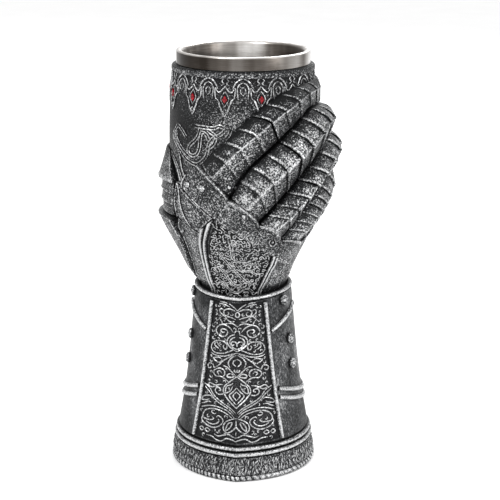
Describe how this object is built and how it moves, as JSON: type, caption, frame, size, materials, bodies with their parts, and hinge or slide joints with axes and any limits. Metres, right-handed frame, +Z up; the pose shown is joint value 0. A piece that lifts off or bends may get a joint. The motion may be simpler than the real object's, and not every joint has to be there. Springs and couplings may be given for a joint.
{
  "type": "gauntlet goblet",
  "caption": "Drinking goblet shaped as a right-hand armoured gauntlet that grips a steel-lined cup and stands on its flared, scrolled cuff.",
  "frame": {"origin": "centre of the flat underside of the foot", "axes": "+Z up towards the drinking rim, -Y towards the keel of the cuff and the back of the hand, +X towards the side that the fingers wrap round"},
  "size_m": [0.0812, 0.0745, 0.19],
  "materials": {
    "steel": "brushed stainless steel, polished lip",
    "pewter": "antiqued silver over charcoal, stippled grain, bright raised edges",
    "dark_pewter": "charcoal ground between raised silver ornament",
    "bright_pewter": "rubbed silver on ribs, cords and studs",
    "red_stone": "faceted red stone"
  },
  "bodies": {
    "root": {"steel_liner": "steel", "cup_body": "dark_pewter", "cup_border": "pewter", "gem_1": "red_stone", "gem_2": "red_stone", "gem_3": "red_stone", "gem_4": "red_stone", "gem_5": "red_stone", "gem_6": "red_stone", "gem_7": "red_stone", "gem_8": "red_stone", "gem_9": "red_stone", "hand_core": "dark_pewter", "knuckle_index": "pewter", "knuckle_middle": "pewter", "knuckle_ring": "pewter", "knuckle_little": "pewter", "index_base": "pewter", "index_bend": "pewter", "index_tip": "pewter", "middle_base": "pewter", "middle_bend": "pewter", "middle_tip": "pewter", "ring_base": "pewter", "ring_bend": "pewter", "ring_tip": "pewter", "little_base": "pewter", "little_bend": "pewter", "little_tip": "pewter", "hand_back": "pewter", "side_plate_lower": "pewter", "side_plate_upper": "pewter", "outer_plate": "pewter", "heel_plate": "pewter", "palm_plate": "pewter", "thenar_plate": "pewter", "hand_cord_left": "bright_pewter", "hand_cord_right": "bright_pewter", "thumb_base": "pewter", "thumb_tip": "pewter", "cuff_body": "pewter", "cuff_rim": "bright_pewter", "foot_cord_upper": "bright_pewter", "foot_cord_lower": "bright_pewter", "hem": "dark_pewter", "foot_rope": "pewter", "cuff_front_panel": "dark_pewter", "panel_rib_left": "bright_pewter", "diagonal_rib_left": "bright_pewter", "panel_rib_right": "bright_pewter", "diagonal_rib_right": "bright_pewter", "side_band_upper": "bright_pewter", "side_band_lower": "bright_pewter", "rosette_1": "bright_pewter", "rosette_2": "bright_pewter", "rosette_3": "bright_pewter", "rosette_4": "bright_pewter", "rosette_5": "bright_pewter", "rosette_6": "bright_pewter"}
  },
  "joints": []
}
